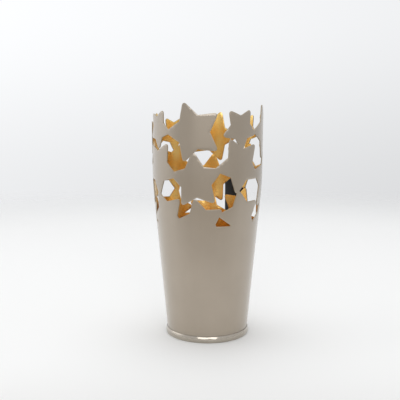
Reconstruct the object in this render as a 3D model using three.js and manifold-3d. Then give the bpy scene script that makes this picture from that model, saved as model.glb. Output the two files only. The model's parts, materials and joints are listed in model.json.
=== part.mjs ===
// Star-pierced candle holder: a tapered sheet-steel tumbler whose upper half is a lattice of overlapping stars,
// closed by a base pan that is seamed round its foot, with a card tag hung behind it on a nylon loop.
// Millimetres, +Z up. The origin is the centre of the ring that it stands on, and the front faces -Y.
// Angles round the wall are measured from the front, towards +X.
import * as THREE from 'three';
import { mergeVertices } from 'three/addons/utils/BufferGeometryUtils.js';
import Module from 'manifold-3d';

const wasm = await Module();
wasm.setup();

// Wall sizes
const SHEET = 0.8;
const FOOT_RADIUS = 34.9;
const SHOULDER_RADIUS = 47.5;
const SHOULDER_HEIGHT = 132;
const SHOULDER_BLEND = 14;
const RIM_FLARE = 0.5;
const BAND_TOP = 100.3;
const WALL_SIDES = 48;
const BLEND_SHARES = [-1, -0.3, 0.3, 1];

// Star sizes: a star's reach runs from its centre to its tip before the tip is rounded. The stars stand in columns
// round the shoulder. A full one laps over the line midway to the next column, by a share of that distance, and
// this holds the lattice together.
const STAR_COLUMNS = 8;
const STAR_LAP_SHARE = 0.340424047;
const STAR_WAIST = 0.54;
const STAR_TIP_RADIUS = 2.2;
const STAR_POINTS = 5;
const STAR_EDGE_STEPS = 2;
const TIP_STEPS = 2;
const CUTTER_MARGIN = 6;

// Base pan and seam sizes
const PAN_SHEET = 0.8;
const PAN_RECESS = 3.4;
const SEAM_HEIGHT = 5.6;
const SEAM_PROUD = 1.8;
const SEAM_FLOOR = 0.9;
const SEAM_EDGE = 0.3;
const SEAM_SLOPE = 0.62;
const SEAM_CORNER = 0.4;
const SEAM_STEPS = 5;
const FIT_GAP = 0.3;

// Tag and loop sizes
const TAG_WIDTH = 22;
const TAG_LENGTH = 52;
const TAG_THICKNESS = 0.6;
const TAG_CORNER = 1.5;
const TAG_HOLE_RADIUS = 1.8;
const LOOP_WIRE = 0.5;
const LOOP_INNER_RADIUS = 6;
const LOOP_STEM = 12.5;
const EYE_INNER_RADIUS = 1.2;
const EYE_CLEARANCE = 0.5;
const LOOP_SIDES = 8;
const LOOP_STEPS = 28;
const EYE_STEPS = 16;

// The star pattern, row by row. angle is in degrees round the wall. rise is the height of the centre above the
// plain band, and size the reach, both in full star reaches. turn is the direction of one tip, in degrees.
const TOP_ROW = [
  { angle: -60, rise: 3.17, size: 0.72, turn: 277 },
  { angle: -15.2, rise: 3.06, size: 1.04, turn: 180 },
  { angle: 34.2, rise: 3.18, size: 0.75, turn: 273 },
  { angle: 80, rise: 3.07, size: 1, turn: 180 },
  { angle: 131, rise: 3.08, size: 0.73, turn: 268 },
  { angle: 172.4, rise: 2.86, size: 1.01, turn: 180 },
  { angle: 219.5, rise: 2.98, size: 0.73, turn: 268 },
  { angle: 258, rise: 2.86, size: 0.95, turn: 180 },
];
const MIDDLE_ROW = [
  { angle: -60, rise: 1.89, size: 1, turn: 56 },
  { angle: -12.4, rise: 1.5, size: 0.98, turn: 95 },
  { angle: 34.2, rise: 1.99, size: 0.99, turn: 260.5 },
  { angle: 83.5, rise: 1.45, size: 1.12, turn: 90 },
  { angle: 136, rise: 1.83, size: 0.95, turn: 262 },
  { angle: 175.5, rise: 1.29, size: 1, turn: 98 },
  { angle: 221, rise: 1.75, size: 1, turn: 260 },
  { angle: 264, rise: 1.51, size: 1, turn: 94 },
];
const LOWER_ROW = [
  { angle: -50, rise: 0.27, size: 0.95, turn: 115 },
  { angle: -7.6, rise: 0.12, size: 0.88, turn: 104 },
  { angle: 38, rise: 0.31, size: 0.93, turn: 103 },
  { angle: 84, rise: 0.08, size: 0.93, turn: 112 },
  { angle: 137, rise: 0.2, size: 0.88, turn: 106 },
  { angle: 179, rise: 0, size: 0.84, turn: 106 },
  { angle: 224, rise: 0.21, size: 0.88, turn: 106 },
  { angle: 266, rise: 0.23, size: 0.88, turn: 101 },
];
const STARS = [...TOP_ROW, ...MIDDLE_ROW, ...LOWER_ROW];

// The loop hangs in the notch between these two neighbours of the top row
const NOTCH_RIGHT_STAR = TOP_ROW[4];
const NOTCH_LEFT_STAR = TOP_ROW[5];

// Materials
const lacquer = new THREE.MeshStandardMaterial({ color: 0x9c9385, roughness: 0.4, metalness: 0.35 });
const panLacquer = new THREE.MeshStandardMaterial({ color: 0x9a9184, roughness: 0.4, metalness: 0.35 });
const blackCard = new THREE.MeshStandardMaterial({ color: 0x17171a, roughness: 0.7, metalness: 0 });
const clearNylon = new THREE.MeshStandardMaterial({ color: 0xe8e8e4, roughness: 0.35, metalness: 0 });

const radians = THREE.MathUtils.degToRad;

const STAR_PITCH = (Math.PI * SHOULDER_RADIUS) / STAR_COLUMNS;
const STAR_LAP = STAR_PITCH * STAR_LAP_SHARE;
const STAR_REACH = STAR_PITCH + STAR_LAP;

/** Height of a star's centre above the ground. */
const starHeight = (star) => BAND_TOP + star.rise * STAR_REACH;

/** Outer radius of the wall at height z: a cone, a parabolic blend at the shoulder and a slight flare above. */
function wallRadius(z) {
  const coneSlope = (SHOULDER_RADIUS - FOOT_RADIUS) / SHOULDER_HEIGHT;
  const flareSlope = RIM_FLARE / (RIM_HEIGHT - SHOULDER_HEIGHT);
  const above = z - SHOULDER_HEIGHT;
  if (above <= -SHOULDER_BLEND) return SHOULDER_RADIUS + coneSlope * above;
  if (above >= SHOULDER_BLEND) return SHOULDER_RADIUS + flareSlope * above;
  const t = (above + SHOULDER_BLEND) / (2 * SHOULDER_BLEND);
  const start = SHOULDER_RADIUS - coneSlope * SHOULDER_BLEND;
  const end = SHOULDER_RADIUS + flareSlope * SHOULDER_BLEND;
  return (1 - t) ** 2 * start + 2 * t * (1 - t) * SHOULDER_RADIUS + t ** 2 * end;
}

/** A closed three.js geometry as a manifold solid. */
function toSolid(geometry) {
  const bare = geometry.clone();
  bare.deleteAttribute('normal');
  bare.deleteAttribute('uv');
  const merged = mergeVertices(bare);
  const vertProperties = new Float32Array(merged.attributes.position.array);
  const triVerts = new Uint32Array(merged.index.array);
  return new wasm.Manifold(new wasm.Mesh({ numProp: 3, vertProperties, triVerts }));
}

/** A manifold solid as a three.js geometry. */
function toGeometry(solid) {
  const mesh = solid.getMesh();
  const geometry = new THREE.BufferGeometry();
  geometry.setAttribute('position', new THREE.BufferAttribute(mesh.vertProperties, mesh.numProp));
  geometry.setIndex(new THREE.BufferAttribute(mesh.triVerts, 1));
  geometry.computeVertexNormals();
  return geometry;
}

/** Turns a closed profile of [radius, height] points, listed with the solid on its left, about the Z axis. */
function revolve(profile, sides) {
  const points = profile.map(([radius, height]) => new THREE.Vector2(radius, height));
  return new THREE.LatheGeometry(points, sides).rotateX(Math.PI / 2);
}

/** A star's outline about its own centre, with rounded tips and with its edges divided so that they can bend. */
function starOutline(reach, turn) {
  const corner = (i) => {
    const length = i % 2 === 0 ? reach : reach * STAR_WAIST;
    const angle = radians(turn) + (i * Math.PI) / STAR_POINTS;
    return new THREE.Vector2(length * Math.cos(angle), length * Math.sin(angle));
  };
  const points = [];
  for (let i = 0; i < 2 * STAR_POINTS; i += 2) {
    const tip = corner(i);
    const before = corner(i + 2 * STAR_POINTS - 1);
    const after = corner(i + 1);
    const halfAngle = before.clone().sub(tip).angleTo(after.clone().sub(tip)) / 2;
    const cut = STAR_TIP_RADIUS / Math.tan(halfAngle) / before.distanceTo(tip);
    const arcStart = tip.clone().lerp(before, cut);
    const arcEnd = tip.clone().lerp(after, cut);
    for (let k = 0; k < STAR_EDGE_STEPS; k += 1) points.push(before.clone().lerp(arcStart, k / STAR_EDGE_STEPS));
    points.push(...new THREE.QuadraticBezierCurve(arcStart, tip, arcEnd).getPoints(TIP_STEPS));
    for (let k = 1; k < STAR_EDGE_STEPS; k += 1) points.push(arcEnd.clone().lerp(after, k / STAR_EDGE_STEPS));
  }
  return points;
}

/** A solid that reaches through the wall wherever the star covers it: the star's outline wrapped round the wall. */
function starCutter(star) {
  const outline = starOutline(star.size * STAR_REACH, star.turn);
  const geometry = new THREE.ExtrudeGeometry(new THREE.Shape(outline), { depth: 1, bevelEnabled: false });
  const position = geometry.attributes.position;
  for (let i = 0; i < position.count; i += 1) {
    const z = starHeight(star) + position.getY(i);
    const angle = radians(star.angle) + position.getX(i) / wallRadius(z);
    const radius = wallRadius(z) + (2 * position.getZ(i) - 1) * CUTTER_MARGIN;
    position.setXYZ(i, radius * Math.sin(angle), -radius * Math.cos(angle), z);
  }
  return toSolid(geometry);
}

/** Highest point of a star, at its rounded tips. */
const starTop = (star) =>
  starHeight(star) + Math.max(...starOutline(star.size * STAR_REACH, star.turn).map((point) => point.y));

const RIM_HEIGHT = Math.max(...STARS.map(starTop));
const FOOT_EDGE = SEAM_FLOOR + FIT_GAP;
const SEAM_RADIUS = FOOT_RADIUS + SEAM_PROUD;
const PAN_FLOOR = PAN_RECESS + PAN_SHEET;

/** The pierced wall: a rolled sheet, kept where the plain band or a star covers it. */
function buildShell() {
  const top = RIM_HEIGHT + CUTTER_MARGIN;
  const blendSteps = BLEND_SHARES.map((share) => SHOULDER_HEIGHT + share * SHOULDER_BLEND);
  const heights = [FOOT_EDGE, ...blendSteps, top];
  const outer = heights.map((z) => [wallRadius(z), z]);
  const inner = heights.map((z) => [wallRadius(z) - SHEET, z]).reverse();
  const wall = toSolid(revolve([...outer, ...inner, outer[0]], WALL_SIDES));

  const bandOuter = SHOULDER_RADIUS + CUTTER_MARGIN;
  const bandProfile = [[0, 0], [bandOuter, 0], [bandOuter, BAND_TOP], [0, BAND_TOP]];
  const band = toSolid(revolve(bandProfile, WALL_SIDES));
  const kept = STARS.map(starCutter).reduce((whole, star) => whole.add(star), band);
  return toGeometry(wall.intersect(kept));
}

/** The base pan: a recessed floor, a leg inside the wall, a channel under its foot and a rolled bead outside it. */
function buildBasePan() {
  const channelInner = (z) => wallRadius(z) - SHEET - FIT_GAP;
  const channelOuter = (z) => wallRadius(z) + FIT_GAP;
  const legInner = channelInner(SEAM_FLOOR) - PAN_SHEET;
  const beadTop = SEAM_HEIGHT - SEAM_EDGE / 2;
  const bead = new THREE.CubicBezierCurve(
    new THREE.Vector2(channelOuter(SEAM_FLOOR) + SEAM_EDGE, 0),
    new THREE.Vector2(SEAM_RADIUS + SEAM_EDGE, 0),
    new THREE.Vector2(SEAM_RADIUS + SEAM_EDGE, beadTop * SEAM_SLOPE),
    new THREE.Vector2(channelOuter(SEAM_HEIGHT) + SEAM_EDGE, beadTop),
  );
  const profile = [
    [0, PAN_RECESS],
    [legInner - SEAM_CORNER, PAN_RECESS],
    [legInner, PAN_RECESS - SEAM_CORNER],
    [legInner, SEAM_CORNER],
    [legInner + SEAM_CORNER, 0],
    ...bead.getPoints(SEAM_STEPS).map((point) => [point.x, point.y]),
    [channelOuter(SEAM_HEIGHT), SEAM_HEIGHT],
    [channelOuter(SEAM_FLOOR), SEAM_FLOOR],
    [channelInner(SEAM_FLOOR), SEAM_FLOOR],
    [channelInner(PAN_FLOOR), PAN_FLOOR],
    [0, PAN_FLOOR],
  ];
  return revolve(profile, WALL_SIDES);
}

/** Where the upper edges of two neighbouring arms cross: the angle, height and steepness of the loop's notch. */
function notchBetween(rightStar, leftStar) {
  const corner = (star, direction, share) => {
    const length = star.size * STAR_REACH * share;
    const z = starHeight(star) + length * Math.sin(radians(direction));
    return new THREE.Vector2(radians(star.angle) + (length * Math.cos(radians(direction))) / wallRadius(z), z);
  };
  const step = 180 / STAR_POINTS;
  const rightTip = rightStar.turn + 2 * step;
  const leftTip = leftStar.turn;
  const a = corner(rightStar, rightTip + step, STAR_WAIST);
  const b = corner(rightStar, rightTip, 1);
  const c = corner(leftStar, leftTip - step, STAR_WAIST);
  const d = corner(leftStar, leftTip, 1);
  const along = b.clone().sub(a);
  const across = d.clone().sub(c);
  const share = c.clone().sub(a).cross(across) / along.cross(across);
  const notch = a.clone().lerp(b, share);
  const slope = Math.max(Math.abs(along.y / along.x), Math.abs(across.y / across.x)) / wallRadius(notch.y);
  return { angle: notch.x, height: notch.y, slope };
}

const NOTCH = notchBetween(NOTCH_RIGHT_STAR, NOTCH_LEFT_STAR);
const LOOP_RADIUS = LOOP_INNER_RADIUS + LOOP_WIRE;
const LOOP_SEAT = (LOOP_WIRE + FIT_GAP) * Math.hypot(1, NOTCH.slope);
const LOOP_CENTRE = NOTCH.height + LOOP_SEAT - LOOP_RADIUS;
const EYE_RADIUS = EYE_INNER_RADIUS + LOOP_WIRE;
const TAG_STANDOFF = SHEET / 2 + EYE_CLEARANCE + EYE_RADIUS + LOOP_WIRE;
const STEM_TOP = LOOP_CENTRE - Math.sqrt(LOOP_RADIUS ** 2 - TAG_STANDOFF ** 2);
const STEM_BOTTOM = STEM_TOP - LOOP_STEM;
const EYE_CENTRE = STEM_BOTTOM - EYE_RADIUS;
const TAG_HOLE_TOP = EYE_CENTRE - EYE_INNER_RADIUS + FIT_GAP;
const TAG_TOP = EYE_CENTRE + EYE_INNER_RADIUS - 2 * FIT_GAP;

/** A ring that stands in the YZ plane, at a distance outside the wall's middle and a height. */
function standingRing(radius, outside, height, steps) {
  const ring = new THREE.TorusGeometry(radius, LOOP_WIRE, LOOP_SIDES, steps);
  return toSolid(ring.rotateY(Math.PI / 2).translate(0, -outside, height));
}

/** The loop: a ring through the wall's notch, a stem and a small eye that the card hangs on. */
function buildTagLoop() {
  const stem = new THREE.CylinderGeometry(LOOP_WIRE, LOOP_WIRE, LOOP_STEM, LOOP_SIDES);
  stem.rotateX(Math.PI / 2).translate(0, -TAG_STANDOFF, (STEM_TOP + STEM_BOTTOM) / 2);
  const ring = standingRing(LOOP_RADIUS, 0, LOOP_CENTRE, LOOP_STEPS);
  const eye = standingRing(EYE_RADIUS, TAG_STANDOFF, EYE_CENTRE, EYE_STEPS);
  return toGeometry(ring.add(toSolid(stem)).add(eye));
}

/** The card: a rectangle with rounded corners and a punched hole, standing outside the wall. */
function buildSwingTag() {
  const half = TAG_WIDTH / 2 - TAG_CORNER;
  const bottom = TAG_TOP - TAG_LENGTH + TAG_CORNER;
  const top = TAG_TOP - TAG_CORNER;
  const card = new THREE.Shape();
  card.absarc(half, bottom, TAG_CORNER, -Math.PI / 2, 0);
  card.absarc(half, top, TAG_CORNER, 0, Math.PI / 2);
  card.absarc(-half, top, TAG_CORNER, Math.PI / 2, Math.PI);
  card.absarc(-half, bottom, TAG_CORNER, Math.PI, 1.5 * Math.PI);
  card.closePath();
  const hole = new THREE.Path();
  hole.absarc(0, TAG_HOLE_TOP - TAG_HOLE_RADIUS, TAG_HOLE_RADIUS, 0, 2 * Math.PI, true);
  card.holes.push(hole);
  const geometry = new THREE.ExtrudeGeometry(card, { depth: TAG_THICKNESS, bevelEnabled: false, curveSegments: 4 });
  return geometry.rotateX(Math.PI / 2).translate(0, TAG_THICKNESS / 2 - TAG_STANDOFF, 0);
}

/** A named mesh. */
function piece(name, geometry, material) {
  const mesh = new THREE.Mesh(geometry, material);
  mesh.name = name;
  return mesh;
}

const hangingTag = new THREE.Group();
hangingTag.add(piece('swing_tag', buildSwingTag(), blackCard));
hangingTag.add(piece('tag_loop', buildTagLoop(), clearNylon));
const notchRadius = wallRadius(NOTCH.height) - SHEET / 2;
hangingTag.position.set(notchRadius * Math.sin(NOTCH.angle), -notchRadius * Math.cos(NOTCH.angle), 0);
hangingTag.rotation.z = NOTCH.angle;

const candleHolder = new THREE.Group();
candleHolder.name = 'candle_holder';
candleHolder.add(piece('shell', buildShell(), lacquer));
candleHolder.add(piece('base_pan', buildBasePan(), panLacquer));
candleHolder.add(hangingTag);

export default candleHolder;
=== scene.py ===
"""Studio scene of a star-pierced candle holder.

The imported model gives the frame. Each class below builds one sub-assembly in metres, in that frame, and
dresses it: the pierced wall, the base pan, and the card tag with its nylon loop. The studio holds the floor,
the lights and the camera.
"""

import json
import logging
import math
from contextlib import contextmanager
from dataclasses import dataclass
from enum import Enum
from functools import lru_cache
from typing import Any, Callable, Iterator, Mapping, Optional, Protocol, Sequence, Union

import bmesh
import bpy
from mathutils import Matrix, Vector


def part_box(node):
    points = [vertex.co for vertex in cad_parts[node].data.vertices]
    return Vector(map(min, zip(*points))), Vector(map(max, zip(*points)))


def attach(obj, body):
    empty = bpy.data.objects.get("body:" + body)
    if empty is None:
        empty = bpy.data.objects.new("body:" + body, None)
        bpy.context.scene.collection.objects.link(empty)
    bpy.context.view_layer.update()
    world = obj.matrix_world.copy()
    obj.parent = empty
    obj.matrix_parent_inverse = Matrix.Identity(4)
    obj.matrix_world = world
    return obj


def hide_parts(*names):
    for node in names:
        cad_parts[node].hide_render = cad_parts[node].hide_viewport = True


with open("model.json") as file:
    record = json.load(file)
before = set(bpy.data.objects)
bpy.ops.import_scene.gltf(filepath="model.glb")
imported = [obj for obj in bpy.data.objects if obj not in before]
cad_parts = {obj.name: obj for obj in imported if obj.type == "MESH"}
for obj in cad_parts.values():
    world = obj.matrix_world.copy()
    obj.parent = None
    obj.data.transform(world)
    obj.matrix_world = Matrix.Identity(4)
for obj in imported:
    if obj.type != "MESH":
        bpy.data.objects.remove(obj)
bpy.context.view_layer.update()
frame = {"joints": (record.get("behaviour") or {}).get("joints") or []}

log = logging.getLogger("candle_holder")

MM = 0.001
FULL_TURN = 2 * math.pi
EDGE_WEAR = "edge_wear"

# Points closer than WELD are merged. A punched mesh is sorted by its distance from SORT_POINT, which lies off
# every plane of symmetry, so that every run welds alike.
WELD = 0.02 * MM
SORT_POINT = (1.371, -2.193, 0.617)

# Edges sharper than CREASE degrees stay sharp in shading. A piece with ALL_SMOOTH has none.
CREASE = 40
ALL_SMOOTH = 180

# The least part of its normal that a face turns forwards as the front of the sheet, or up as the pan's floor
FRONT_LEAN = 0.9
FLOOR_LEAN = 0.5

Triple = tuple[float, float, float]
Span = tuple[float, float]
Colour = tuple[float, float, float, float]
Settings = Optional[Mapping[str, Any]]
Sockets = Optional[Mapping[Union[str, int], Any]]


class Body(Enum):
    """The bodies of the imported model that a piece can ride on."""

    HOLDER = "holder"
    TAG = "tag"


class Slot(Enum):
    """The record's material slots."""

    WALL = "taupe_lacquer"
    BASE = "base_lacquer"
    CARD = "black_card"
    NYLON = "clear_nylon"


class Side(Enum):
    """The material slots of a sheet-metal piece, by the side of the sheet that they cover."""

    OUTSIDE = 0
    INSIDE = 1
    CUT_EDGE = 2


# Modelling bench


def pick(piece: bpy.types.Object) -> None:
    """Makes one piece the only selected object and the active one.

    Args:
        piece: the object to work on.
    """
    bpy.ops.object.select_all(action="DESELECT")
    piece.select_set(True)
    bpy.context.view_layer.objects.active = piece


@contextmanager
def editing(piece: bpy.types.Object, kind: str = "VERT") -> Iterator[None]:
    """Opens a piece in edit mode with everything selected, and closes it again.

    Args:
        piece: the mesh object to edit.
        kind: the select mode, VERT, EDGE or FACE.

    Yields:
        Nothing, while the piece is open.
    """
    pick(piece)
    bpy.ops.object.mode_set(mode="EDIT")
    bpy.ops.mesh.select_mode(type=kind)
    bpy.ops.mesh.select_all(action="SELECT")
    yield
    bpy.ops.object.mode_set(mode="OBJECT")


def choose(piece: bpy.types.Object, kind: str, test: Callable[[Any], bool]) -> None:
    """Selects the parts of an open mesh that pass a test, and nothing else.

    Args:
        piece: the object that is open in edit mode.
        kind: the name of the mesh's list of parts: verts, edges or faces.
        test: tells whether a vertex, edge or face is wanted.
    """
    bpy.ops.mesh.select_all(action="DESELECT")
    shape = bmesh.from_edit_mesh(piece.data)
    for part in getattr(shape, kind):
        if test(part):
            part.select_set(True)
    bmesh.update_edit_mesh(piece.data)


def settle(piece: bpy.types.Object) -> None:
    """Moves an object's place, turn and scale into its mesh."""
    pick(piece)
    bpy.ops.object.transform_apply(location=True, rotation=True, scale=True)


def modify(piece: bpy.types.Object, kind: str, **settings: Any) -> None:
    """Adds a modifier to a piece and applies it.

    Args:
        piece: the object to change.
        kind: the modifier's type.
        settings: the modifier's own settings.
    """
    pick(piece)
    modifier = piece.modifiers.new(kind.lower(), kind)
    modifier.show_viewport = False
    for name, value in settings.items():
        setattr(modifier, name, value)
    bpy.ops.object.modifier_apply(modifier=modifier.name)


def discard(piece: bpy.types.Object) -> None:
    """Removes a piece that was only a tool."""
    bpy.data.objects.remove(piece)


def named(name: str) -> bpy.types.Object:
    """Names the active object and its mesh.

    Args:
        name: the new name.

    Returns:
        The active object.
    """
    piece = bpy.context.object
    piece.name = name
    piece.data.name = name
    return piece


def joined(pieces: Sequence[bpy.types.Object], name: str) -> bpy.types.Object:
    """Joins pieces into the first of them.

    Args:
        pieces: the mesh objects to join.
        name: the name of the joined object.

    Returns:
        The joined object.
    """
    pick(pieces[0])
    for piece in pieces:
        piece.select_set(True)
    bpy.ops.object.join()
    return named(name)


def spun(name: str, profile: Sequence[Vector], steps: int) -> bpy.types.Object:
    """Draws a profile by extruding a vertex along it, and spins it about the Z axis.

    Args:
        name: the name of the new piece.
        profile: points of the section in the XZ plane, from the axis round to the axis.
        steps: the number of steps in a full turn.

    Returns:
        The spun, closed piece.
    """
    bpy.ops.mesh.primitive_plane_add(size=MM, location=(0, 0, 0))
    piece = named(name)
    with editing(piece):
        bpy.ops.mesh.merge(type="CENTER")
        bpy.ops.transform.translate(value=profile[0])
        for start, end in zip(profile, profile[1:]):
            bpy.ops.mesh.extrude_region_move(TRANSFORM_OT_translate={"value": end - start})
        bpy.ops.mesh.select_all(action="SELECT")
        bpy.ops.mesh.spin(steps=steps, angle=FULL_TURN, center=(0, 0, 0), axis=(0, 0, 1))
        bpy.ops.mesh.select_all(action="SELECT")
        bpy.ops.mesh.remove_doubles(threshold=WELD / 4)
        bpy.ops.mesh.normals_make_consistent(inside=False)
    return piece


def smooth(piece: bpy.types.Object, crease: float) -> None:
    """Shades a piece smooth, apart from edges sharper than an angle in degrees."""
    pick(piece)
    bpy.ops.object.shade_smooth_by_angle(angle=math.radians(crease))


# Shader wiring


class Value:
    """A shader socket that takes part in Python arithmetic, which adds the Math nodes that work it out."""

    def __init__(self, board: "Board", socket: bpy.types.NodeSocket) -> None:
        """Keeps the board that new nodes go on, and the socket."""
        self.board = board
        self.socket = socket

    def _math(self, operation: str, first: "Number", second: "Number") -> "Value":
        """Adds a Math node.

        Args:
            operation: the node's operation.
            first: its first input.
            second: its second input.

        Returns:
            The node's result.
        """
        return self.board.node("ShaderNodeMath", {"operation": operation}, {0: first, 1: second})

    def __add__(self, other: "Number") -> "Value":
        """This value plus another."""
        return self._math("ADD", self, other)

    def __radd__(self, other: "Number") -> "Value":
        """Another value plus this one."""
        return self._math("ADD", other, self)

    def __sub__(self, other: "Number") -> "Value":
        """This value minus another."""
        return self._math("SUBTRACT", self, other)

    def __rsub__(self, other: "Number") -> "Value":
        """Another value minus this one."""
        return self._math("SUBTRACT", other, self)

    def __mul__(self, other: "Number") -> "Value":
        """This value times another."""
        return self._math("MULTIPLY", self, other)

    def __rmul__(self, other: "Number") -> "Value":
        """Another value times this one."""
        return self._math("MULTIPLY", other, self)

    def __pow__(self, other: "Number") -> "Value":
        """This value to a power."""
        return self._math("POWER", self, other)

    def __rpow__(self, other: "Number") -> "Value":
        """Another value to the power of this one."""
        return self._math("POWER", other, self)


Number = Union[Value, float]
Paint = Union[Value, Colour]


class Board:
    """The node board of one material, or of the world."""

    def __init__(self, tree: bpy.types.NodeTree) -> None:
        """Clears a node tree to work on."""
        self.tree = tree
        self.tree.nodes.clear()

    @classmethod
    def of(cls, owner: Union[bpy.types.Material, bpy.types.World]) -> "Board":
        """The empty board of a material or a world."""
        owner.use_nodes = True
        return cls(owner.node_tree)

    def _add(self, kind: str, settings: Settings, sockets: Sockets) -> bpy.types.Node:
        """Adds a node, which every node of the board comes from.

        Args:
            kind: the node's type.
            settings: its own settings, set before its sockets.
            sockets: its inputs' values or links, by name or number.

        Returns:
            The new node.
        """
        made = self.tree.nodes.new(kind)
        for name, setting in (settings or {}).items():
            setattr(made, name, setting)
        for name, value in (sockets or {}).items():
            if isinstance(value, Value):
                self.tree.links.new(value.socket, made.inputs[name])
            else:
                made.inputs[name].default_value = value
        return made

    def node(
        self, kind: str, settings: Settings = None, sockets: Sockets = None, output: Union[str, int] = 0
    ) -> Value:
        """Adds a node whose result goes on into another.

        Args:
            kind: the node's type.
            settings: its own settings.
            sockets: its inputs' values or links, by name or number.
            output: the name or number of the wanted output.

        Returns:
            The wanted output.
        """
        return Value(self, self._add(kind, settings, sockets).outputs[output])

    def place(self, stretch: Sequence[float] = (1, 1, 1)) -> Value:
        """The point on the piece, stretched along its axes.

        Args:
            stretch: a factor for each axis.

        Returns:
            The stretched Object coordinates.
        """
        point = self.node("ShaderNodeTexCoord", output="Object")
        return self.node("ShaderNodeMapping", None, {"Vector": point, "Scale": tuple(stretch)})

    def noise(self, size: float, detail: float = 2, stretch: Sequence[float] = (1, 1, 1)) -> Value:
        """Smooth noise about one half.

        Args:
            size: the size of its features in metres.
            detail: the number of finer layers.
            stretch: a factor for each axis of the point that it reads.

        Returns:
            The noise, from nought to one.
        """
        inputs = {"Vector": self.place(stretch), "Scale": 1 / size, "Detail": detail}
        return self.node("ShaderNodeTexNoise", None, inputs)

    def blend(self, share: Number, first: Paint, second: Paint) -> Value:
        """A mix of two colours.

        Args:
            share: how much of the second colour there is.
            first: the first colour.
            second: the second colour.

        Returns:
            The mixed colour.
        """
        settings = {"data_type": "RGBA", "clamp_factor": True}
        return self.node("ShaderNodeMix", settings, {0: share, 6: first, 7: second}, 2)

    def bump(self, height: Value, depth: float, below: Optional[Value] = None) -> Value:
        """A bumped normal.

        Args:
            height: the height, from nought to one.
            depth: the depth of a full height, in metres.
            below: the normal that the bumps lie on.

        Returns:
            The bumped normal.
        """
        sockets = {"Height": height, "Strength": 1.0, "Distance": depth}
        if below is not None:
            sockets["Normal"] = below
        return self.node("ShaderNodeBump", None, sockets)

    def ramp(self, value: Value, low: float, high: float) -> Value:
        """A smooth step from nought to one.

        Args:
            value: the value to step on.
            low: where the step starts.
            high: where it ends.

        Returns:
            The stepped value.
        """
        settings = {"interpolation_type": "SMOOTHSTEP"}
        sockets = {"Value": value, "From Min": low, "From Max": high}
        return self.node("ShaderNodeMapRange", settings, sockets)

    def axis(self, point: Value, name: str) -> Value:
        """One part of a vector: X, Y or Z."""
        return self.node("ShaderNodeSeparateXYZ", None, {0: point}, name)

    def surface(self, **sockets: Any) -> None:
        """Ends the board in a Principled shader.

        Args:
            sockets: the shader's inputs, with underscores for spaces.
        """
        inputs = {name.replace("_", " "): value for name, value in sockets.items()}
        self.end("ShaderNodeOutputMaterial", self.node("ShaderNodeBsdfPrincipled", None, inputs))

    def end(self, kind: str, shader: Value) -> None:
        """Wires a shader to an output node.

        Args:
            kind: the output node's type.
            shader: the shader.
        """
        self._add(kind, None, {"Surface": shader})


# Finishes


class Finish(Protocol):
    """What every finish has."""

    @property
    def name(self) -> str:
        """The material's name."""

    def paint(self, board: Board) -> None:
        """Wires the finish on an empty board."""


@dataclass(frozen=True)
class Lacquer:
    """A sprayed metallic lacquer on sheet steel, with fine flake, faint clouds and worn cut edges.

    deep and light are the colours that the clouds run between, and worn is what shows along cut edges.
    texture scales the flake, the rolling marks and the bumps. The painted shade colour, where there is one,
    darkens the piece low down, for the shade deep inside: it holds up to dark_height, and the clouds take
    over from there to full_height.
    """

    name: str
    deep: Colour
    light: Colour
    worn: Colour
    metallic: float
    roughness: float
    coat: float
    coat_index: float
    polish: float
    texture: float
    # painted shade colour for the lower part of the piece, if any
    painted_shade: Optional[Colour] = None
    dark_height: float = 70 * MM
    full_height: float = 150 * MM
    cloud_size: float = 30 * MM
    cloud_tone: float = 0.6
    cloud_gloss: float = 0.06
    flake_size: float = 0.35 * MM
    flake_tone: float = 0.2
    flake_gloss: float = 0.04
    roll_size: float = 9 * MM
    roll_stretch: Triple = (1, 1, 0.04)
    roll_tone: float = 0.2
    roll_depth: float = 0.06 * MM
    peel_size: float = 1.3 * MM
    peel_depth: float = 0.01 * MM
    wear_power: float = 3
    wear_least: float = 0.05
    wear_flake: float = 0.15

    def paint(self, board: Board) -> None:
        """Wires the lacquer.

        Args:
            board: the material's empty board.
        """
        cloud = board.noise(self.cloud_size, detail=3)
        flake = board.noise(self.flake_size, detail=1)
        roll = board.noise(self.roll_size, stretch=self.roll_stretch)
        wear = board.node("ShaderNodeAttribute", {"attribute_name": EDGE_WEAR}, None, "Fac")
        grain = flake * self.texture
        tone = cloud * self.cloud_tone + grain * self.flake_tone + roll * self.roll_tone * self.texture
        paint = board.blend(tone, self.deep, self.light)
        # Painted shade: the lacquer darkens towards the bottom of the piece, for the shade deep inside the
        # cup.
        if self.painted_shade:
            full = board.ramp(board.axis(board.place(), "Z"), self.dark_height, self.full_height)
            paint = board.blend(full, self.painted_shade, paint)
        rubbed = wear ** self.wear_power * (self.wear_least + flake * self.wear_flake)
        colour = board.blend(rubbed, paint, self.worn)
        smoothest = self.roughness - (self.cloud_gloss + self.flake_gloss) / 2
        gloss = smoothest + cloud * self.cloud_gloss + grain * self.flake_gloss
        peel = board.bump(board.noise(self.peel_size), self.peel_depth * self.texture)
        normal = board.bump(roll, self.roll_depth * self.texture, peel)
        board.surface(
            Base_Color=colour,
            Metallic=self.metallic,
            Roughness=gloss,
            Coat_Weight=self.coat,
            Coat_IOR=self.coat_index,
            Coat_Roughness=self.polish,
            Normal=normal,
        )


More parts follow.
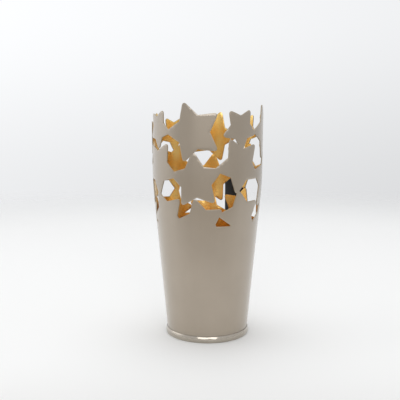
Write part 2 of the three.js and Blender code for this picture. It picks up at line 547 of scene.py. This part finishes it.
@dataclass(frozen=True)
class Card:
    """Matt black card with fine fibres."""

    name: str
    deep: Colour
    light: Colour
    roughness: float
    fibre_size: float = 0.5 * MM
    fibre_stretch: Triple = (1, 1, 0.35)
    fibre_tone: float = 0.7
    fibre_gloss: float = 0.12
    fibre_depth: float = 0.02 * MM
    cloud_size: float = 8 * MM
    cloud_tone: float = 0.3

    def paint(self, board: Board) -> None:
        """Wires the card.

        Args:
            board: the material's empty board.
        """
        fibre = board.noise(self.fibre_size, 4, self.fibre_stretch)
        cloud = board.noise(self.cloud_size)
        tone = fibre * self.fibre_tone + cloud * self.cloud_tone
        board.surface(
            Base_Color=board.blend(tone, self.deep, self.light),
            Roughness=self.roughness + fibre * self.fibre_gloss,
            Normal=board.bump(fibre, self.fibre_depth),
        )


@dataclass(frozen=True)
class Nylon:
    """Clear nylon with a faint milky drift."""

    name: str
    deep: Colour
    light: Colour
    roughness: float
    index: float = 1.53
    clearness: float = 0.55
    milk_size: float = 2 * MM
    milk_gloss: float = 0.1
    milk_depth: float = 0.01 * MM

    def paint(self, board: Board) -> None:
        """Wires the nylon.

        Args:
            board: the material's empty board.
        """
        milk = board.noise(self.milk_size)
        board.surface(
            Base_Color=board.blend(milk, self.deep, self.light),
            Roughness=self.roughness + milk * self.milk_gloss,
            IOR=self.index,
            Transmission_Weight=self.clearness,
            Normal=board.bump(milk, self.milk_depth),
        )


TAUPE = Lacquer(
    name="wall_taupe",
    deep=(0.295, 0.241, 0.178, 1),
    light=(0.39, 0.323, 0.246, 1),
    worn=(0.75, 0.62, 0.42, 1),
    metallic=0.4,
    roughness=0.32,
    coat=0.9,
    coat_index=1.8,
    polish=0.2,
    texture=1.0,
)
BASE_TAUPE = Lacquer(
    name="base_taupe",
    deep=(0.37, 0.325, 0.265, 1),
    light=(0.5, 0.445, 0.37, 1),
    worn=(0.72, 0.64, 0.5, 1),
    metallic=0.9,
    roughness=0.18,
    coat=0.8,
    coat_index=1.8,
    polish=0.1,
    texture=0.6,
)
GOLD = Lacquer(
    name="inside_gold",
    deep=(0.8, 0.52, 0.15, 1),
    light=(0.95, 0.67, 0.22, 1),
    worn=(0.9, 0.68, 0.32, 1),
    metallic=0.9,
    roughness=0.24,
    coat=0.4,
    coat_index=1.5,
    polish=0.15,
    texture=0.06,
    # painted shade: the gold darkens towards the bottom inside the cup
    painted_shade=(0.65, 0.395, 0.115, 1),
)
CUT_EDGE = Lacquer(
    name="cut_edge",
    deep=(0.27, 0.22, 0.16, 1),
    light=(0.36, 0.3, 0.22, 1),
    worn=(0.5, 0.4, 0.25, 1),
    metallic=0.4,
    roughness=0.4,
    coat=0.15,
    coat_index=1.5,
    polish=0.18,
    texture=0.6,
)
BLACK_CARD = Card("tag_card", (0.006, 0.006, 0.008, 1), (0.016, 0.016, 0.019, 1), 0.5)
CLEAR_NYLON = Nylon("loop_nylon", (0.78, 0.79, 0.77, 1), (0.9, 0.9, 0.88, 1), 0.18)


# Pieces


@lru_cache(maxsize=None)
def finished(finish: Finish) -> bpy.types.Material:
    """The material of a finish, made once.

    Args:
        finish: the finish.

    Returns:
        Its material.
    """
    material = bpy.data.materials.new(finish.name)
    finish.paint(Board.of(material))
    return material


def dress(piece: bpy.types.Object, *finishes: Finish) -> None:
    """Gives a piece its finishes, in the order of its material slots.

    Args:
        piece: the mesh object.
        finishes: the finishes.
    """
    for finish in finishes:
        piece.data.materials.append(finished(finish))


def seat(piece: bpy.types.Object, body: Body, node: str) -> None:
    """Lets a finished piece stand for a node of the frame and move with its body.

    Args:
        piece: the finished piece.
        body: the body that it rides on.
        node: the node that it stands for.
    """
    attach(piece, body.value)
    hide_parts(node)


@dataclass(frozen=True)
class Star:
    """One star of the pattern.

    angle is in degrees round the wall from the front. rise is the height of the centre above the plain band
    and size the reach, both in full star reaches. turn is the direction of one tip, in degrees.
    """

    angle: float
    rise: float
    size: float
    turn: float


TOP_ROW = (
    Star(-60, 3.17, 0.72, 277),
    Star(-15.2, 3.06, 1.04, 180),
    Star(34.2, 3.18, 0.75, 273),
    Star(80, 3.07, 1, 180),
    Star(131, 3.08, 0.73, 268),
    Star(172.4, 2.86, 1.01, 180),
    Star(219.5, 2.98, 0.73, 268),
    Star(258, 2.86, 0.95, 180),
)
MIDDLE_ROW = (
    Star(-60, 1.89, 1, 56),
    Star(-12.4, 1.5, 0.98, 95),
    Star(34.2, 1.99, 0.99, 260.5),
    Star(83.5, 1.45, 1.12, 90),
    Star(136, 1.83, 0.95, 262),
    Star(175.5, 1.29, 1, 98),
    Star(221, 1.75, 1, 260),
    Star(264, 1.51, 1, 94),
)
LOWER_ROW = (
    Star(-50, 0.27, 0.95, 115),
    Star(-7.6, 0.12, 0.88, 104),
    Star(38, 0.31, 0.93, 103),
    Star(84, 0.08, 0.93, 112),
    Star(137, 0.2, 0.88, 106),
    Star(179, 0, 0.84, 106),
    Star(224, 0.21, 0.88, 106),
    Star(266, 0.23, 0.88, 101),
)


@dataclass
class PiercedWall:
    """The tapered wall: a flat sheet, punched with stars, then rolled into a tumbler and thickened.

    A full star reaches past the line midway to the next column, by star_lap_share of that distance. long_side
    is the least length of a star's straight sides, in full star reaches. Each pair in edge_insets says how
    far a cut edge steps across and out, in edge rounds.
    """

    sheet: float = 0.8 * MM
    foot_radius: float = 34.9 * MM
    shoulder_radius: float = 47.5 * MM
    shoulder_height: float = 132 * MM
    shoulder_blend: float = 14 * MM
    rim_flare: float = 0.5 * MM
    band_top: float = 100.3 * MM
    star_columns: int = 8
    star_lap_share: float = 0.340424047
    star_waist: float = 0.54
    star_points: int = 5
    tip_radius: float = 2.2 * MM
    tip_steps: int = 6
    edge_cuts: int = 5
    columns: int = 160
    rows: int = 44
    band_steps: int = 16
    margin: float = 4 * MM
    edge_round: float = 0.15 * MM
    edge_insets: tuple[Span, ...] = ((0.3, 0.7), (0.7, 0.3))
    long_side: float = 0.2

    def __post_init__(self) -> None:
        """Works out the sizes that follow from the driving ones and from the frame."""
        low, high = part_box("shell")
        self.foot = low.z
        self.rim = high.z
        self.girth = FULL_TURN * self.shoulder_radius
        half_pitch = self.girth / 2 / self.star_columns
        self.reach = half_pitch * (1 + self.star_lap_share)
        self.sheet_low = self.band_top - self.margin

    def radius(self, height: float) -> float:
        """Outer radius of the wall: a cone, a parabolic blend at the shoulder and a slight flare above.

        Args:
            height: the height above the ground.

        Returns:
            The radius at that height.
        """
        cone = (self.shoulder_radius - self.foot_radius) / self.shoulder_height
        flare = self.rim_flare / (self.rim - self.shoulder_height)
        above = height - self.shoulder_height
        if above <= -self.shoulder_blend:
            return self.shoulder_radius + cone * above
        if above >= self.shoulder_blend:
            return self.shoulder_radius + flare * above
        share = (above + self.shoulder_blend) / (2 * self.shoulder_blend)
        start = self.shoulder_radius - cone * self.shoulder_blend
        end = self.shoulder_radius + flare * self.shoulder_blend
        return (1 - share) ** 2 * start + 2 * share * (1 - share) * self.shoulder_radius + share ** 2 * end

    def build(self) -> bpy.types.Object:
        """Makes the wall.

        Returns:
            The finished wall.
        """
        wall = self._blank()
        punches = self._punches()
        modify(wall, "BOOLEAN", operation="INTERSECT", solver="EXACT", use_self=True, object=punches)
        discard(punches)
        self._keep_face(wall)
        self._lengthen(wall)
        self._roll(wall)
        self._mark_edges(wall)
        dress(wall, TAUPE, GOLD, CUT_EDGE)
        self._thicken(wall)
        seat(wall, Body.HOLDER, "shell")
        return wall

    def _blank(self) -> bpy.types.Object:
        """Makes the flat sheet that the stars are punched from, facing the front.

        Returns:
            A thin slab of small cells.
        """
        height = self.rim + self.margin - self.sheet_low
        centre = (0, -self.margin / 2, self.sheet_low + height / 2)
        bpy.ops.mesh.primitive_grid_add(
            x_subdivisions=self.columns,
            y_subdivisions=self.rows,
            size=1,
            location=centre,
            rotation=(math.pi / 2, 0, 0),
        )
        slab = named("shell_wall")
        slab.scale = (self.girth, height, 1)
        settle(slab)
        with editing(slab, "FACE"):
            bpy.ops.mesh.extrude_region_move(TRANSFORM_OT_translate={"value": (0, self.margin, 0)})
            bpy.ops.mesh.select_all(action="SELECT")
            bpy.ops.mesh.normals_make_consistent(inside=False)
        return slab

    def _punches(self) -> bpy.types.Object:
        """Makes the solids that say where sheet is kept: the plain band and every star, on the flat sheet.

        Returns:
            One object that holds them all.
        """
        height = 4 * self.margin
        bpy.ops.mesh.primitive_plane_add(
            size=1, location=(0, 0, self.band_top - height / 2), rotation=(math.pi / 2, 0, 0)
        )
        band = named("band_punch")
        band.scale = (self.girth + 4 * self.margin, height, 1)
        settle(band)
        pieces = [self._solid(band)]
        for star in TOP_ROW + MIDDLE_ROW + LOWER_ROW:
            for turn in (-1, 0, 1):
                across = (math.radians(star.angle) + turn * FULL_TURN) * self.shoulder_radius
                if abs(across) < self.girth / 2 + self.reach + self.margin:
                    pieces.append(self._star_punch(star, across))
        return joined(pieces, "star_punches")

    def _star_punch(self, star: Star, across: float) -> bpy.types.Object:
        """Makes one star's solid on the flat sheet.

        Args:
            star: the star.
            across: the place of its centre across the sheet.

        Returns:
            The solid.
        """
        centre = Vector((across, 0, self.band_top + star.rise * self.reach))
        bpy.ops.mesh.primitive_circle_add(
            vertices=2 * self.star_points,
            radius=star.size * self.reach,
            fill_type="NGON",
            rotation=(0, 0, math.radians(star.turn) - math.pi / 2),
        )
        punch = named("star_punch")
        settle(punch)
        cut = self.tip_radius / math.tan(self._half_tip_angle())
        long_side = self.long_side * self.reach
        with editing(punch):
            choose(punch, "verts", lambda corner: corner.index % 2 == 1)
            bpy.ops.transform.resize(value=(self.star_waist,) * 3, center_override=(0, 0, 0))
            choose(punch, "verts", lambda corner: corner.index % 2 == 0)
            bpy.ops.mesh.bevel(offset=cut, segments=self.tip_steps, affect="VERTICES", clamp_overlap=True)
            choose(punch, "edges", lambda side: side.calc_length() > long_side)
            bpy.ops.mesh.subdivide(number_cuts=self.edge_cuts)
        for corner in punch.data.vertices:
            girth_share = self.shoulder_radius / self.radius(centre.z + corner.co.y)
            corner.co = centre + Vector((corner.co.x * girth_share, 0, corner.co.y))
        return self._solid(punch)

    def _half_tip_angle(self) -> float:
        """Half of the angle at a star's tip."""
        step = math.pi / self.star_points
        return math.atan2(self.star_waist * math.sin(step), 1 - self.star_waist * math.cos(step))

    def _solid(self, outline: bpy.types.Object) -> bpy.types.Object:
        """Thickens a flat outline into a solid that reaches through the sheet.

        Args:
            outline: a flat face in the sheet's plane.

        Returns:
            The same object, as a closed solid.
        """
        with editing(outline, "FACE"):
            bpy.ops.transform.translate(value=(0, -2 * self.margin, 0))
            bpy.ops.mesh.extrude_region_move(TRANSFORM_OT_translate={"value": (0, 4 * self.margin, 0)})
            bpy.ops.mesh.select_all(action="SELECT")
            bpy.ops.mesh.normals_make_consistent(inside=False)
        return outline

    def _keep_face(self, wall: bpy.types.Object) -> None:
        """Sorts the punched slab, so that every run welds alike, and deletes all of it but its front face.

        Args:
            wall: the punched slab.
        """
        cursor = bpy.context.scene.cursor
        with editing(wall, "FACE"):
            bpy.ops.mesh.select_all(action="SELECT")
            cursor.location = SORT_POINT
            bpy.ops.mesh.sort_elements(type="CURSOR_DISTANCE", elements={"VERT", "EDGE", "FACE"})
            cursor.location = (0, 0, 0)
            choose(wall, "faces", lambda face: face.normal.y > -FRONT_LEAN)
            bpy.ops.mesh.delete(type="FACE")
            bpy.ops.mesh.select_all(action="SELECT")
            bpy.ops.mesh.remove_doubles(threshold=4 * WELD)

    def _lengthen(self, wall: bpy.types.Object) -> None:
        """Extrudes the sheet's lower edge down to the foot.

        Args:
            wall: the flat, punched sheet.
        """
        step = (self.sheet_low - self.foot) / self.band_steps
        low = min(corner.co.z for corner in wall.data.vertices) + WELD
        with editing(wall, "EDGE"):
            choose(wall, "edges", lambda side: all(corner.co.z < low for corner in side.verts))
            for _ in range(self.band_steps):
                bpy.ops.mesh.extrude_region_move(TRANSFORM_OT_translate={"value": (0, 0, -step)})

    def _roll(self, wall: bpy.types.Object) -> None:
        """Rolls the flat sheet round the Z axis and welds its ends.

        Args:
            wall: the flat, punched sheet.
        """
        for corner in wall.data.vertices:
            angle = corner.co.x / self.shoulder_radius
            radius = self.radius(corner.co.z)
            corner.co = Vector((radius * math.sin(angle), -radius * math.cos(angle), corner.co.z))
        with editing(wall):
            bpy.ops.mesh.remove_doubles(threshold=4 * WELD)
            bpy.ops.mesh.normals_make_consistent(inside=False)

    def _mark_edges(self, wall: bpy.types.Object) -> None:
        """Marks the cut edges, where the lacquer wears.

        Args:
            wall: the rolled sheet.
        """
        marks = wall.data.attributes.new(EDGE_WEAR, "FLOAT", "POINT")
        shape = bmesh.new()
        shape.from_mesh(wall.data)
        for corner in shape.verts:
            marks.data[corner.index].value = float(corner.is_boundary)
        shape.free()

    def _is_cut(self, face: bmesh.types.BMFace) -> bool:
        """Whether a face lies on the cut edge of a star."""
        return face.material_index == Side.CUT_EDGE.value and face.calc_center_median().z > self.sheet_low

    def _thicken(self, wall: bpy.types.Object) -> None:
        """Gives the rolled sheet its thickness and rounds its cut edges.

        Args:
            wall: the rolled sheet.
        """
        modify(
            wall,
            "SOLIDIFY",
            thickness=self.sheet,
            offset=-1,
            use_even_offset=False,
            material_offset=Side.INSIDE.value,
            material_offset_rim=Side.CUT_EDGE.value,
        )
        with editing(wall, "FACE"):
            choose(wall, "faces", self._is_cut)
            for across, out in self.edge_insets:
                bpy.ops.mesh.inset(
                    thickness=across * self.edge_round, depth=out * self.edge_round, use_even_offset=False
                )
        smooth(wall, CREASE)


@dataclass
class BasePan:
    """The base: a recessed pan whose edge is folded round the wall's foot and rolled into a bead.

    seam_slope is how high the bead bulges, as a share of its height. It is wrinkled where it stands out by
    more than wrinkle_start, as a share of seam_proud, and lies above wrinkle_floor.
    """

    wall: PiercedWall
    sheet: float = 0.8 * MM
    recess: float = 3.4 * MM
    seam_height: float = 5.6 * MM
    seam_proud: float = 1.8 * MM
    seam_floor: float = 0.9 * MM
    seam_edge: float = 0.3 * MM
    seam_slope: float = 0.62
    lip: float = 0.1 * MM
    corner: float = 0.4 * MM
    fit_gap: float = 0.3 * MM
    bead_steps: int = 20
    steps: int = 360
    wrinkle: float = 0.26 * MM
    wrinkle_size: float = 3 * MM
    wrinkle_start: float = 0.4
    wrinkle_floor: float = 0.2 * MM
    wrinkle_layers: int = 1

    def _inside(self, height: float) -> float:
        """Radius of the pan where it faces the wall's inside."""
        return self.wall.radius(height) - self.wall.sheet - self.fit_gap

    def _outside(self, height: float) -> float:
        """Radius of the bead where it faces the wall's outside."""
        return self.wall.radius(height) + self.fit_gap

    def profile(self) -> list[Vector]:
        """The pan's section, from the axis under the floor, round the bead and back to the axis.

        Returns:
            Points in the XZ plane.
        """
        leg = self._inside(self.seam_floor) - self.sheet
        floor = self.recess + self.sheet
        bead_top = self.seam_height - self.seam_edge / 2
        bulge = self.wall.foot_radius + self.seam_proud + self.seam_edge
        start = Vector((self._outside(self.seam_floor) + self.seam_edge, 0, 0))
        lower = Vector((bulge, 0, 0))
        upper = Vector((bulge, 0, bead_top * self.seam_slope))
        end = Vector((self._outside(self.seam_height) + self.lip, 0, bead_top))
        points = [
            Vector((0, 0, self.recess)),
            Vector((leg - self.corner, 0, self.recess)),
            Vector((leg, 0, self.recess - self.corner)),
            Vector((leg, 0, self.corner)),
            Vector((leg + self.corner, 0, 0)),
        ]
        for step in range(self.bead_steps + 1):
            t = step / self.bead_steps
            pull = 3 * t * (1 - t) ** 2 * lower + 3 * t ** 2 * (1 - t) * upper
            points.append((1 - t) ** 3 * start + pull + t ** 3 * end)
        points += [
            Vector((self._outside(self.seam_height), 0, self.seam_height)),
            Vector((self._outside(self.seam_floor), 0, self.seam_floor)),
            Vector((self._inside(self.seam_floor), 0, self.seam_floor)),
            Vector((self._inside(floor), 0, floor)),
            Vector((0, 0, floor)),
        ]
        return points

    def build(self) -> bpy.types.Object:
        """Makes the pan.

        Returns:
            The finished pan.
        """
        pan = spun("base_seam_pan", self.profile(), self.steps)
        dress(pan, BASE_TAUPE, GOLD)
        with editing(pan, "FACE"):
            choose(pan, "faces", self._is_floor)
            pan.active_material_index = Side.INSIDE.value
            bpy.ops.object.material_slot_assign()
        self._wrinkle(pan)
        smooth(pan, CREASE)
        seat(pan, Body.HOLDER, "base_pan")
        return pan

    def _is_floor(self, face: bmesh.types.BMFace) -> bool:
        """Whether a face is part of the floor that shows inside the wall."""
        inside = self.wall.foot_radius - self.wall.sheet
        return face.normal.z > FLOOR_LEAN and face.calc_center_median().xy.length < inside

    def _wrinkle(self, pan: bpy.types.Object) -> None:
        """Crimps the rolled bead with slight wrinkles.

        Args:
            pan: the spun pan.
        """
        bead = pan.vertex_groups.new(name="bead")
        for corner in pan.data.vertices:
            proud = (corner.co.xy.length - self.wall.radius(corner.co.z)) / self.seam_proud
            if proud > self.wrinkle_start and corner.co.z > self.wrinkle_floor:
                bead.add([corner.index], min(1.0, proud), "REPLACE")
        texture = bpy.data.textures.new("crimp_wrinkles", "CLOUDS")
        texture.noise_scale = self.wrinkle_size
        texture.noise_depth = self.wrinkle_layers
        modify(
            pan,
            "DISPLACE",
            texture=texture,
            texture_coords="LOCAL",
            strength=self.wrinkle,
            vertex_group=bead.name,
        )
        pan.vertex_groups.remove(pan.vertex_groups[0])


@dataclass
class SwingTag:
    """The card tag and its moulded nylon loop, hung in the notch between two stars of the top row."""

    card_width: float = 22 * MM
    card_thickness: float = 0.6 * MM
    card_corner: float = 1.5 * MM
    corner_steps: int = 6
    edge_round: float = 0.1 * MM
    edge_steps: int = 2
    edge_angle: float = math.radians(60)
    hole_radius: float = 1.8 * MM
    hole_drop: float = 1.5 * MM
    hole_sides: int = 40
    standoff: float = 3.1 * MM
    wire: float = 0.5 * MM
    wire_sides: int = 20
    stem_sides: int = 24
    loop_radius: float = 6.5 * MM
    eye_radius: float = 1.7 * MM
    ring_steps: int = 72
    voxel: float = 0.15 * MM
    soften: float = 0.5
    soften_rounds: int = 4

    def __post_init__(self) -> None:
        """Takes the hinge and the heights from the frame."""
        hinge = frame["joints"][0]
        self.hinge = Vector(hinge["pos_m"])
        self.turn = math.atan2(-hinge["axis"][1], -hinge["axis"][0])
        self.card_low, self.card_top = (corner.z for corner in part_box("swing_tag"))
        self.loop_low, self.loop_top = (corner.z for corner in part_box("tag_loop"))

    def build(self) -> tuple[bpy.types.Object, bpy.types.Object]:
        """Makes the card and the loop.

        Returns:
            The finished card and the finished loop.
        """
        card = self._card()
        dress(card, BLACK_CARD)
        seat(card, Body.TAG, "swing_tag")
        loop = self._loop()
        dress(loop, CLEAR_NYLON)
        seat(loop, Body.TAG, "tag_loop")
        return card, loop

    def _hang(self, piece: bpy.types.Object) -> None:
        """Turns and moves a piece to the notch.

        Args:
            piece: a piece that was made about the Z axis, facing the front.
        """
        piece.rotation_euler.z = self.turn
        piece.location = (self.hinge.x, self.hinge.y, 0)
        settle(piece)

    def _card(self) -> bpy.types.Object:
        """Makes the card: a thin block with rounded corners and a punched hole.

        Returns:
            The finished card.
        """
        height = self.card_top - self.card_low
        bpy.ops.mesh.primitive_cube_add(size=1, location=(0, -self.standoff, self.card_low + height / 2))
        card = named("card_tag")
        card.scale = (self.card_width, self.card_thickness, height)
        settle(card)
        with editing(card, "EDGE"):
            choose(card, "edges", lambda side: side.calc_length() < 2 * self.card_thickness)
            bpy.ops.mesh.bevel(offset=self.card_corner, segments=self.corner_steps, affect="EDGES")
        hole_place = (0, -self.standoff, self.card_top - self.hole_drop - self.hole_radius)
        bpy.ops.mesh.primitive_cylinder_add(
            vertices=self.hole_sides,
            radius=self.hole_radius,
            depth=4 * self.card_thickness,
            location=hole_place,
            rotation=(math.pi / 2, 0, 0),
        )
        hole = named("hole_punch")
        modify(card, "BOOLEAN", operation="DIFFERENCE", solver="EXACT", object=hole)
        discard(hole)
        modify(
            card,
            "BEVEL",
            width=self.edge_round,
            segments=self.edge_steps,
            limit_method="ANGLE",
            angle_limit=self.edge_angle,
        )
        self._hang(card)
        smooth(card, CREASE)
        return card

    def _loop(self) -> bpy.types.Object:
        """Makes the loop: a ring through the notch, a stem and a small eye, moulded in one.

        Returns:
            The finished loop.
        """
        ring_centre = self.loop_top - self.loop_radius - self.wire
        eye_centre = self.loop_low + self.eye_radius + self.wire
        stem_top = ring_centre - math.sqrt(self.loop_radius ** 2 - self.standoff ** 2)
        stem_low = eye_centre + self.eye_radius
        ring = self._ring((0, 0, ring_centre), self.loop_radius)
        eye = self._ring((0, -self.standoff, eye_centre), self.eye_radius)
        bpy.ops.mesh.primitive_cylinder_add(
            vertices=self.stem_sides,
            radius=self.wire,
            depth=stem_top - stem_low,
            location=(0, -self.standoff, (stem_top + stem_low) / 2),
        )
        stem = named("loop_stem")
        loop = joined((ring, stem, eye), "nylon_loop")
        settle(loop)
        modify(loop, "REMESH", mode="VOXEL", voxel_size=self.voxel)
        modify(loop, "SMOOTH", factor=self.soften, iterations=self.soften_rounds)
        self._hang(loop)
        smooth(loop, ALL_SMOOTH)
        return loop

    def _ring(self, centre: Sequence[float], radius: float) -> bpy.types.Object:
        """Makes one wire ring that stands square to the wall.

        Args:
            centre: its centre.
            radius: its radius at the middle of the wire.

        Returns:
            The ring.
        """
        bpy.ops.mesh.primitive_torus_add(
            major_radius=radius,
            minor_radius=self.wire,
            major_segments=self.ring_steps,
            minor_segments=self.wire_sides,
            location=centre,
            rotation=(0, math.pi / 2, 0),
        )
        return named("loop_ring")


# Studio


@dataclass(frozen=True)
class Paper:
    """The matt white studio floor, with painted shade in front of the object, fading out far from it."""

    name: str
    colour: Colour
    shaded: Colour
    roughness: float
    shade_start: float
    shade_end: float
    fade_start: float
    fade_end: float

    def paint(self, board: Board) -> None:
        """Wires the paper.

        Args:
            board: the material's empty board.
        """
        place = board.place()
        ahead = 0.0 - board.axis(place, "Y")
        # Painted shade: the paper darkens to the shaded colour ahead of the object, towards the camera.
        shade = board.ramp(ahead, self.shade_start, self.shade_end)
        distance = board.node("ShaderNodeVectorMath", {"operation": "LENGTH"}, {0: place}, "Value")
        board.surface(
            Base_Color=board.blend(shade, self.colour, self.shaded),
            Roughness=self.roughness,
            Alpha=1.0 - board.ramp(distance, self.fade_start, self.fade_end),
        )


WHITE_PAPER = Paper(
    name="white_paper",
    colour=(0.9, 0.9, 0.892, 1),
    # painted shade for the floor on the camera's side
    shaded=(0.36, 0.33, 0.3, 1),
    roughness=0.7,
    shade_start=0.06,
    shade_end=0.46,
    fade_start=0.6,
    fade_end=1.3,
)


@dataclass(frozen=True)
class SoftBox:
    """A soft box, with its place and sides in metres and its power in watts."""

    name: str
    place: Triple
    width: float
    length: float
    power: float

    def build(self, aim: Triple) -> None:
        """Makes the soft box, unseen by the camera.

        Args:
            aim: the point that it faces.
        """
        light = bpy.data.lights.new(self.name, "AREA")
        light.shape = "RECTANGLE"
        light.size = self.width
        light.size_y = self.length
        light.energy = self.power
        lamp = bpy.data.objects.new(self.name, light)
        lamp.visible_camera = False
        bpy.context.scene.collection.objects.link(lamp)
        lamp.location = self.place
        way = Vector(aim) - Vector(self.place)
        lamp.rotation_euler = way.to_track_quat("-Z", "Y").to_euler()


SOFT_BOXES = (
    SoftBox("window_box", (0.0, -2.4, 0.96), 2.4, 1.1, 18),
    SoftBox("top_box", (0.0, 0.25, 1.3), 1.0, 1.0, 5.5),
    SoftBox("left_box", (-1.1, 0.1, 0.6), 0.8, 0.8, 1.2),
)


@dataclass
class Studio:
    """The pale floor, the white surround, the soft lights and the camera.

    The surround's glow is given low and high, in front and behind, and overhead. Each span is where one glow
    turns into the other, in the depth or the rise of the direction. side_tilt dims the right behind the
    object against the left.
    """

    photo_side: float = 400
    focal_pixels: float = 633
    sensor: float = 36
    camera_place: Triple = (-6.43 * MM, -550 * MM, 183.7 * MM)
    camera_tilt: float = math.radians(6.9)
    camera_near: float = 10 * MM
    lamp_aim: Triple = (0, 0, 0.1)
    floor_radius: float = 1.32
    floor_sides: int = 96
    tint: Colour = (0.975, 0.985, 1.0, 1)
    front_low: float = 0.46
    front_high: float = 0.8
    back_low: float = 0.8
    back_high: float = 0.96
    ceiling: float = 0.65
    side_tilt: float = 0.2
    back_span: Span = (-0.6, 0.3)
    high_span: Span = (-0.14, 0.18)
    ceiling_span: Span = (0.25, 0.7)

    def build(self) -> None:
        """Makes the studio."""
        self._floor()
        self._surround()
        for box in SOFT_BOXES:
            box.build(self.lamp_aim)
        self._camera()

    def _floor(self) -> None:
        """Makes a round sheet of white paper."""
        bpy.ops.mesh.primitive_circle_add(
            vertices=self.floor_sides, radius=self.floor_radius, fill_type="NGON"
        )
        floor = named("studio_floor")
        settle(floor)
        dress(floor, WHITE_PAPER)

    def _surround(self) -> None:
        """Makes the white surround: bright behind and above the object, dimmer on the camera's side."""
        world = bpy.data.worlds.new("white_surround")
        bpy.context.scene.world = world
        board = Board.of(world)
        direction = board.node("ShaderNodeTexCoord", output="Generated")
        rise = board.axis(direction, "Z")
        back = board.ramp(board.axis(direction, "Y"), *self.back_span)
        high = board.ramp(rise, *self.high_span)
        overhead = board.ramp(rise, *self.ceiling_span)
        tilt = board.axis(direction, "X") * self.side_tilt
        low_glow = self.front_low + back * (self.back_low - self.front_low - tilt)
        high_glow = self.front_high + back * (self.back_high - self.front_high - tilt)
        glow = low_glow + high * (high_glow - low_glow)
        sockets = {"Color": self.tint, "Strength": glow + overhead * (self.ceiling - glow)}
        board.end("ShaderNodeOutputWorld", board.node("ShaderNodeBackground", None, sockets))

    def _camera(self) -> None:
        """Makes the camera where the photograph was taken from."""
        lens = bpy.data.cameras.new("photo_camera")
        lens.sensor_width = self.sensor
        lens.lens = self.focal_pixels / self.photo_side * self.sensor
        lens.clip_start = self.camera_near
        camera = bpy.data.objects.new("photo_camera", lens)
        bpy.context.scene.collection.objects.link(camera)
        camera.location = self.camera_place
        camera.rotation_euler = (math.pi / 2 - self.camera_tilt, 0, 0)
        bpy.context.scene.camera = camera
        bpy.context.scene.view_settings.view_transform = "Standard"


def main() -> None:
    """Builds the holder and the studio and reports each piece."""
    logging.basicConfig(level=logging.INFO, format="%(message)s")
    wall = PiercedWall()
    pieces = [wall.build(), BasePan(wall).build(), *SwingTag().build()]
    for piece in pieces:
        log.info("%s: %d faces", piece.name, len(piece.data.polygons))
    Studio().build()


if __name__ == "__main__":
    main()
